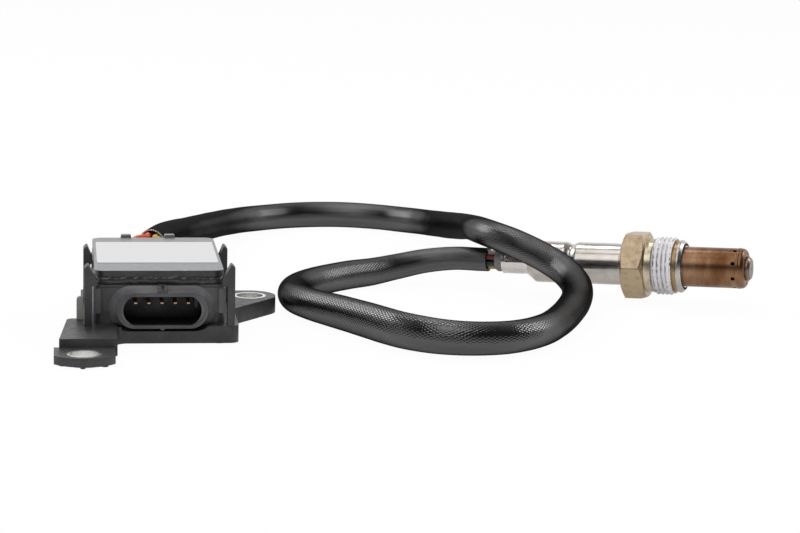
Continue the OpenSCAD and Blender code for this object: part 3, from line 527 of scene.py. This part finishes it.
# Exhaust side: a heat tinted outer tube with a ring of gas holes over an inner tube that shows as
# the blunt nose. The bright collar of the sensor's own housing holds the screw.
def tube_finish(name, stops):
    """Heat tinted steel: brown that varies in bands along the tube, with fine drawn lines."""
    material, tree, shader, place = finish(name, stops[0][1], 0.32, 1.0)
    turn = put(tree, "Mapping", [("Vector", place)], Rotation=(0, -tilt, heading), vector_type="TEXTURE")
    turn.inputs["Location"].default_value = probe_pos * MM
    bands = grain(tree, turn.outputs[0], 160, 4, (1, 0.35, 0.35))
    specks = grain(tree, place, 3500, 3)
    colour = tint(tree, bands, stops)
    mottle = put(tree, "Mix", data_type="RGBA", blend_type="MULTIPLY")
    mottle.inputs[0].default_value = 0.5
    tree.links.new(colour, mottle.inputs[6])
    tree.links.new(tint(tree, specks, [(0.35, (0.6, 0.6, 0.6)), (0.6, (1, 1, 1))]), mottle.inputs[7])
    tree.links.new(mottle.outputs[2], shader.inputs["Base Color"])
    tree.links.new(spread(tree, specks, 0.27, 0.42), shader.inputs["Roughness"])
    relief(tree, shader, grain(tree, turn.outputs[0], 7000, 2, (1, 0.03, 0.03)), 0.00002, 0.5)
    return material


brown = [(0.3, (0.14, 0.062, 0.026)), (0.5, (0.22, 0.11, 0.055)), (0.64, (0.31, 0.18, 0.10)), (0.8, (0.42, 0.28, 0.20))]
tube_steel = tube_finish("tube_steel", brown)
nose_steel = tube_finish("nose_steel", [(0.3, (0.18, 0.12, 0.08)), (0.7, (0.34, 0.28, 0.235))])


# Plastic: glass-filled moulding for the box and its bracket, slightly grained, with edges that
# catch the light.
def plastic_finish(name, colour, rough, depth=0.00004):
    """Moulded plastic: fine grain in the bump, soft patches in colour and gloss."""
    material, tree, shader, place = finish(name, colour, rough)
    patches = grain(tree, place, 90, 5)
    light = tuple(min(1.0, 1.35 * c + 0.004) for c in colour)
    dark = tuple(0.8 * c for c in colour)
    tree.links.new(tint(tree, patches, [(0.35, dark), (0.65, light)]), shader.inputs["Base Color"])
    tree.links.new(spread(tree, grain(tree, place, 350, 4), rough - 0.07, rough + 0.09), shader.inputs["Roughness"])
    relief(tree, shader, grain(tree, place, 3200, 3), depth, 0.5)
    return material


def eased(node, width, angle=28, segments=3):
    """Rounds the edges of a CAD node, after its loose triangles are joined into flat faces."""
    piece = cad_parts[node]
    weld = piece.modifiers.new("weld", "WELD")
    weld.merge_threshold = 0.000004
    flat = piece.modifiers.new("flat", "DECIMATE")
    flat.decimate_type = "DISSOLVE"
    flat.angle_limit = np.radians(0.6)
    edge = piece.modifiers.new("edge", "BEVEL")
    edge.width = width * MM
    edge.segments = segments
    edge.limit_method = "ANGLE"
    edge.angle_limit = np.radians(angle)
    edge.harden_normals = True
    edge.use_clamp_overlap = True


def dress(node, material):
    """Gives a CAD node its material."""
    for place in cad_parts[node].material_slots:
        place.material = material


def paint_socket_shade(material):
    """Paints shade inside the socket: darkens the plastic where the distance from its middle line is less than
    half its height."""
    tree = material.node_tree
    shader = tree.nodes["Principled BSDF"]
    parts = put(tree, "SeparateXYZ", [("Vector", put(tree, "TexCoord").outputs["Object"])])
    x, y, z = parts.outputs
    out = reckon(tree, "MAXIMUM", reckon(tree, "SUBTRACT", reckon(tree, "ABSOLUTE", reckon(
        tree, "SUBTRACT", x, socket_x * MM)), socket_flat * MM), 0.0)
    up = reckon(tree, "SUBTRACT", z, socket_z * MM)
    away = reckon(tree, "SQRT", reckon(tree, "ADD", reckon(tree, "POWER", out, 2.0), reckon(tree, "POWER", up, 2.0)))
    inside = reckon(tree, "MULTIPLY", reckon(tree, "LESS_THAN", away, (socket_r + 0.03) * MM),
                    spread(tree, y, 0.0, 1.0, shroud_y * MM, (shroud_y + 2) * MM))
    mix = put(tree, "Mix", [("Factor", inside)], data_type="RGBA")
    tree.links.new(shader.inputs["Base Color"].links[0].from_socket, mix.inputs[6])
    mix.inputs[7].default_value = (0.006, 0.006, 0.0065, 1)
    tree.links.new(mix.outputs[2], shader.inputs["Base Color"])
    return material


socket_x, socket_z, socket_flat, socket_r = 24.5, 10.9, 8.65, 4.55
shroud_y, shroud_wall, panel_y = 26.5, 1.05, 31.0
bracket_plastic = plastic_finish("bracket_plastic", (0.031, 0.031, 0.033), 0.42)
tree = bracket_plastic.node_tree
x, y, z = put(tree, "SeparateXYZ", [("Vector", put(tree, "TexCoord").outputs["Object"])]).outputs
# Painted sheen: on the rib at the bracket's rear left, where x is below 0, z above 6 mm and y below 42 mm, the black
# plastic is painted a light beige.
painted_sheen_on_rib = reckon(tree, "MULTIPLY", reckon(tree, "LESS_THAN", x, 0.0), reckon(tree, "GREATER_THAN", z, 0.006))
painted_sheen_on_rib = reckon(tree, "MULTIPLY", painted_sheen_on_rib, reckon(tree, "LESS_THAN", y, 0.042))
mix = put(tree, "Mix", [("Factor", painted_sheen_on_rib)], data_type="RGBA")
tree.links.new(tree.nodes["Principled BSDF"].inputs["Base Color"].links[0].from_socket, mix.inputs[6])
mix.inputs[7].default_value = (0.30, 0.285, 0.26, 1)
tree.links.new(mix.outputs[2], tree.nodes["Principled BSDF"].inputs["Base Color"])
dress("bracket", bracket_plastic)
# Painted sheen: the shroud's flare is part of the housing moulding, but it gets a lighter copy of that plastic in place
# of the sheen along it.
box_plastic = plastic_finish("box_plastic", (0.11, 0.11, 0.115), 0.42)
dress("housing", paint_socket_shade(plastic_finish("socket_plastic", (0.062, 0.062, 0.065), 0.45)))
eased("bracket", 0.3)
eased("housing", 0.15)
lid_metal, lid_tree, lid_shader, lid_place = finish("lid_aluminium", (0.36, 0.365, 0.375), 0.5, 1.0)
# Painted shade: lid faces whose normals point sideways or down, below 22.8 mm, are painted a dark grey, and only the
# top keeps the metal's own grey.
facing = put(lid_tree, "SeparateXYZ", [("Vector", put(lid_tree, "TexCoord").outputs["Normal"])]).outputs[2]
height = put(lid_tree, "SeparateXYZ", [("Vector", lid_place)]).outputs[2]
facing = reckon(lid_tree, "MAXIMUM", facing, reckon(lid_tree, "GREATER_THAN", height, 0.0228))
lid_painted_shade = tint(lid_tree, facing, [(0.25, (0.09, 0.09, 0.095)), (0.8, (0.36, 0.365, 0.375))])
lid_tree.links.new(lid_painted_shade, lid_shader.inputs["Base Color"])
lid_tree.links.new(spread(lid_tree, grain(lid_tree, lid_place, 600, 4), 0.42, 0.6), lid_shader.inputs["Roughness"])
relief(lid_tree, lid_shader, grain(lid_tree, lid_place, 5000, 3), 0.00005, 0.5)
dress("lid", lid_metal)
eased("lid", 0.35)
label_paper, label_tree, label_shader, label_place = finish("label_paper", (0.69, 0.69, 0.70), 0.4)
relief(label_tree, label_shader, grain(label_tree, label_place, 4000, 3), 0.00001, 0.3)
dress("label", label_paper)


def flare_grid():
    """Sweep of the shroud's outline towards the panel: its reach grows with the square of the way,
    and less underneath, where the tray's recess is."""
    angle = 2 * np.pi * np.arange(96) / 96
    below = np.clip((-np.sin(angle) - 0.62) / 0.22, 0, 1)
    rows = []
    for way in np.concatenate([[0.0], np.linspace(0.0, 1.0, 15), [1.0]]):
        grow = way**2
        reach = socket_r + shroud_wall + 0.02 + grow * (1.7 - 0.85 * below)
        flat = socket_flat + 0.9 * grow
        rows.append(np.stack([socket_x + np.sign(np.cos(angle)) * flat * (np.abs(np.cos(angle)) > 1e-9) + reach * np.cos(angle),
                              0 * angle + shroud_y + 0.7 + way * (panel_y - shroud_y - 0.65), socket_z + reach * np.sin(angle)], -1))
    rows = np.array(rows)
    middle = np.array([socket_x, 0, socket_z])
    shrink = np.array([0.86, 1, 0.86])
    for k in (0, -1):
        rows[k] = (rows[k] - middle) * shrink + middle
    return rows


def bead_grid():
    """Tube round the box under the lid: a rounded rectangle with lumps from sums of sines."""
    x0, x1, y0, y1, r = 4.5, 42.9, 32.9, 91.2, 2.2
    path = []
    for cx, cy, start in ((x1 - r, y0 + r, -90), (x1 - r, y1 - r, 0), (x0 + r, y1 - r, 90), (x0 + r, y0 + r, 180)):
        turn = np.radians(start + np.linspace(0, 90, 10))
        path.append(np.stack([cx + r * np.cos(turn), cy + r * np.sin(turn), 19.5 + 0 * turn], 1))
    path = np.vstack(path + [path[0][:1]])
    gone = np.concatenate([[0], np.cumsum(np.linalg.norm(np.diff(path, axis=0), axis=1))])
    even = np.linspace(0, gone[-1], 480, endpoint=False)
    path = np.stack([np.interp(even, gone, path[:, k]) for k in range(3)], 1)
    ahead = np.roll(path, -1, axis=0) - np.roll(path, 1, axis=0)
    ahead /= np.linalg.norm(ahead, axis=1, keepdims=True)
    side = np.cross(ahead, [0, 0, 1.0])
    angle = 2 * np.pi * np.arange(20) / 20
    turns = 2 * np.pi * np.arange(480)[:, None] / 480
    dice = np.random.default_rng(7)
    lumps = 0
    for waves in (5, 11, 17, 26, 37, 49, 63, 88):
        a, b = dice.uniform(0, 2 * np.pi, 2)
        lumps = lumps + np.sin(waves * turns + a + 1.3 * np.sin(angle[None] + b)) / np.sqrt(waves)
    reach = 1 + 0.2 * lumps
    out = 1.15 * reach * np.cos(angle)[None]
    up = 1.55 * reach * np.sin(angle)[None]
    return path[:, None] + out[..., None] * side[:, None] + up[..., None] * np.array([0, 0, 1.0])


flare = skin("shroud_flare", flare_grid() * MM, box_plastic, loop=True, caps=False)
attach(flare, "sensor")
sealant = skin("sealant", bead_grid() * MM, rubber_finish("sealant", (0.03, 0.03, 0.031), 0.28), loop=True, caps=False)
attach(sealant, "sensor")
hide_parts("sealant_bead")
bushing_steel = steel_finish("bushing_steel", (0.88, 0.88, 0.86), (0.68, 0.68, 0.66), 0.3)
for node in ("front_bushing", "rear_bushing"):
    dress(node, bushing_steel)
brass = steel_finish("contact_brass", (0.52, 0.35, 0.18), (0.36, 0.23, 0.11), 0.3)
for k in range(1, 6):
    dress("pin_%d" % k, brass)
    eased("pin_%d" % k, 0.22)
dress("circuit_board", plastic_finish("board_resin", (0.02, 0.16, 0.07), 0.35))
for node in ("microcontroller", "heater_driver"):
    dress(node, plastic_finish(node + "_case", (0.015, 0.015, 0.016), 0.5))
dress("capacitors", steel_finish("capacitor_can", (0.6, 0.6, 0.62), (0.5, 0.5, 0.52), 0.3))
dress("wire_seal", rubber)
dress("sensor_housing", ring_steel)
dress("outer_tube", tube_steel)
dress("inner_tube", nose_steel)
ceramic = plastic_finish("sensor_ceramic", (0.8, 0.77, 0.7), 0.6)
for node in ("sensing_element", "contact_block", "rear_ceramic", "front_ceramic"):
    dress(node, ceramic)
dress("packing_ring", plastic_finish("packed_powder", (0.6, 0.57, 0.5), 0.8, 0.0001))

# Studio: a pale floor that melts into a white surround. Two soft boxes hang one above the other
# in front on the left, under a dark ceiling and beside a dark front wall that only reflections see.
floor_mesh = bpy.data.meshes.new("floor")
floor_mesh.from_pydata([(-6, -6, 0), (6, -6, 0), (6, 6, 0), (-6, 6, 0)], [], [(0, 1, 2, 3)])
floor = bpy.data.objects.new("floor", floor_mesh)
bpy.context.scene.collection.objects.link(floor)
floor_paint = bpy.data.materials.new("floor")
floor_paint.use_nodes = True
tree = floor_paint.node_tree
tree.nodes.clear()
matt = put(tree, "BsdfDiffuse", Color=(0.9, 0.9, 0.9, 1))
glow = put(tree, "Emission", Strength=1.0)
seen = put(tree, "LightPath")
share = reckon(tree, "ADD", reckon(tree, "MULTIPLY", seen.outputs["Is Camera Ray"], 0.96),
               reckon(tree, "MULTIPLY", seen.outputs["Is Glossy Ray"], 0.42))
blend = put(tree, "MixShader", [("Fac", share)])
tree.links.new(matt.outputs[0], blend.inputs[1])
tree.links.new(glow.outputs[0], blend.inputs[2])
out = tree.nodes.new("ShaderNodeOutputMaterial")
tree.links.new(blend.outputs[0], out.inputs[0])
floor_mesh.materials.append(floor_paint)

world = bpy.data.worlds.new("studio")
bpy.context.scene.world = world
world.use_nodes = True
tree = world.node_tree
tree.nodes.clear()
seen = put(tree, "LightPath")
white = reckon(tree, "MAXIMUM", seen.outputs["Is Camera Ray"], seen.outputs["Is Transmission Ray"])
parts = put(tree, "SeparateXYZ", [("Vector", put(tree, "TexCoord").outputs["Generated"])])
front = put(tree, "MapRange", [("Value", parts.outputs[2])], From_Min=0.35, From_Max=0.6, To_Min=0.06, To_Max=0.08)
back = put(tree, "MapRange", [("Value", parts.outputs[2])], From_Min=0.45, From_Max=0.8, To_Min=1.0, To_Max=0.3)
depth = put(tree, "MapRange", [("Value", parts.outputs[1])], From_Min=-0.15, From_Max=0.15)
room = put(tree, "Mix", [("Factor", depth.outputs[0]), ("A", front.outputs[0]), ("B", back.outputs[0])])
glossy = reckon(tree, "MULTIPLY", seen.outputs["Is Glossy Ray"], room.outputs[0])
diffuse = reckon(tree, "MULTIPLY", reckon(tree, "SUBTRACT", 1.0, seen.outputs["Is Glossy Ray"]), 0.5)
strength = reckon(tree, "MAXIMUM", reckon(tree, "ADD", glossy, diffuse), white)
air = put(tree, "Background", [("Strength", strength)], Color=(1, 1, 1, 1))
out = tree.nodes.new("ShaderNodeOutputWorld")
tree.links.new(air.outputs[0], out.inputs[0])


def lamp(name, at, aim, size, power):
    """A soft square lamp at one point, turned towards another."""
    made = bpy.data.objects.new(name, bpy.data.lights.new(name, "AREA"))
    made.data.shape = "RECTANGLE"
    made.data.size, made.data.size_y = size
    made.data.energy = power
    back = np.array(at, float) - aim
    back /= np.linalg.norm(back)
    across = np.cross([0, 0, 1.0], back)
    across = across / np.linalg.norm(across) if np.linalg.norm(across) > 1e-6 else np.array([1.0, 0, 0])
    place = np.eye(4)
    place[:3, :4] = np.stack([across, np.cross(back, across), back, at], 1)
    made.matrix_world = Matrix(place.tolist())
    bpy.context.scene.collection.objects.link(made)
    return made


centre = np.array([0.1, 0.1, 0.01])
for name, turn, rise, wide, tall, glow in (
    ("upper_box", -120, 80, 0.8, 0.55, 1.7), ("lower_box", -120, 46, 0.8, 0.8, 1.7),
    ("left_box", 140, 36, 0.45, 0.36, 6.0), ("right_box", 14, 36, 0.45, 0.36, 6.0),
    ("back_box", 100, 62, 0.4, 0.3, 5.0),
):
    turn, rise = np.radians([turn, rise])
    reach = 1.3 * np.array([np.cos(rise) * np.cos(turn), np.cos(rise) * np.sin(turn), np.sin(rise)])
    lamp(name, centre + reach, centre, (wide, tall), glow * np.pi * wide * tall)
